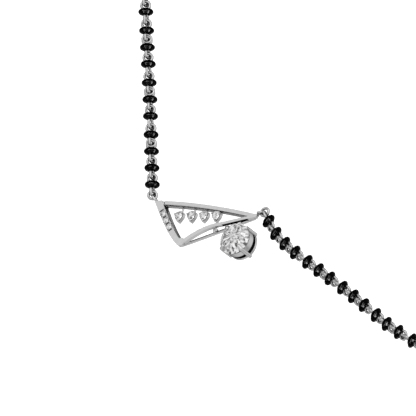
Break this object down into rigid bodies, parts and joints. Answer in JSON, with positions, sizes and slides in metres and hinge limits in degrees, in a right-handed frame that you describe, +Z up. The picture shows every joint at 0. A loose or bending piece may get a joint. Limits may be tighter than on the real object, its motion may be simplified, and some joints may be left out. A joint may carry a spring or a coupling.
{
  "type": "mangalsutra",
  "caption": "Short bead necklace in its worn form: a loop of black rondelles holds a small white metal triangle pendant with pear stones and one large round stone.",
  "frame": {"origin": "middle of the clasp, where the loop lies on the nape", "axes": "+Z up, -Y towards the front where the pendant hangs, +X towards the pendant's large stone; the loop's plane falls from the nape to the pendant"},
  "size_m": [0.1412, 0.0958, 0.1217],
  "materials": {
    "white_metal": "polished white gold",
    "clear_stone": "cut and polished",
    "black_bead": "polished black"
  },
  "bodies": {
    "root": {"pendant_frame": "white_metal", "solitaire_stone": "clear_stone", "pave_stone_1": "clear_stone", "pave_stone_2": "clear_stone", "pave_stone_3": "clear_stone", "pear_stone_1": "clear_stone", "pear_stone_2": "clear_stone", "pear_stone_3": "clear_stone", "pear_stone_4": "clear_stone", "ring_left": "white_metal", "ring_right": "white_metal", "black_beads_left": "black_bead", "black_beads_right": "black_bead", "chain_left": "white_metal", "chain_right": "white_metal", "clasp": "white_metal", "clasp_ring_left": "white_metal", "clasp_ring_right": "white_metal"}
  },
  "joints": []
}
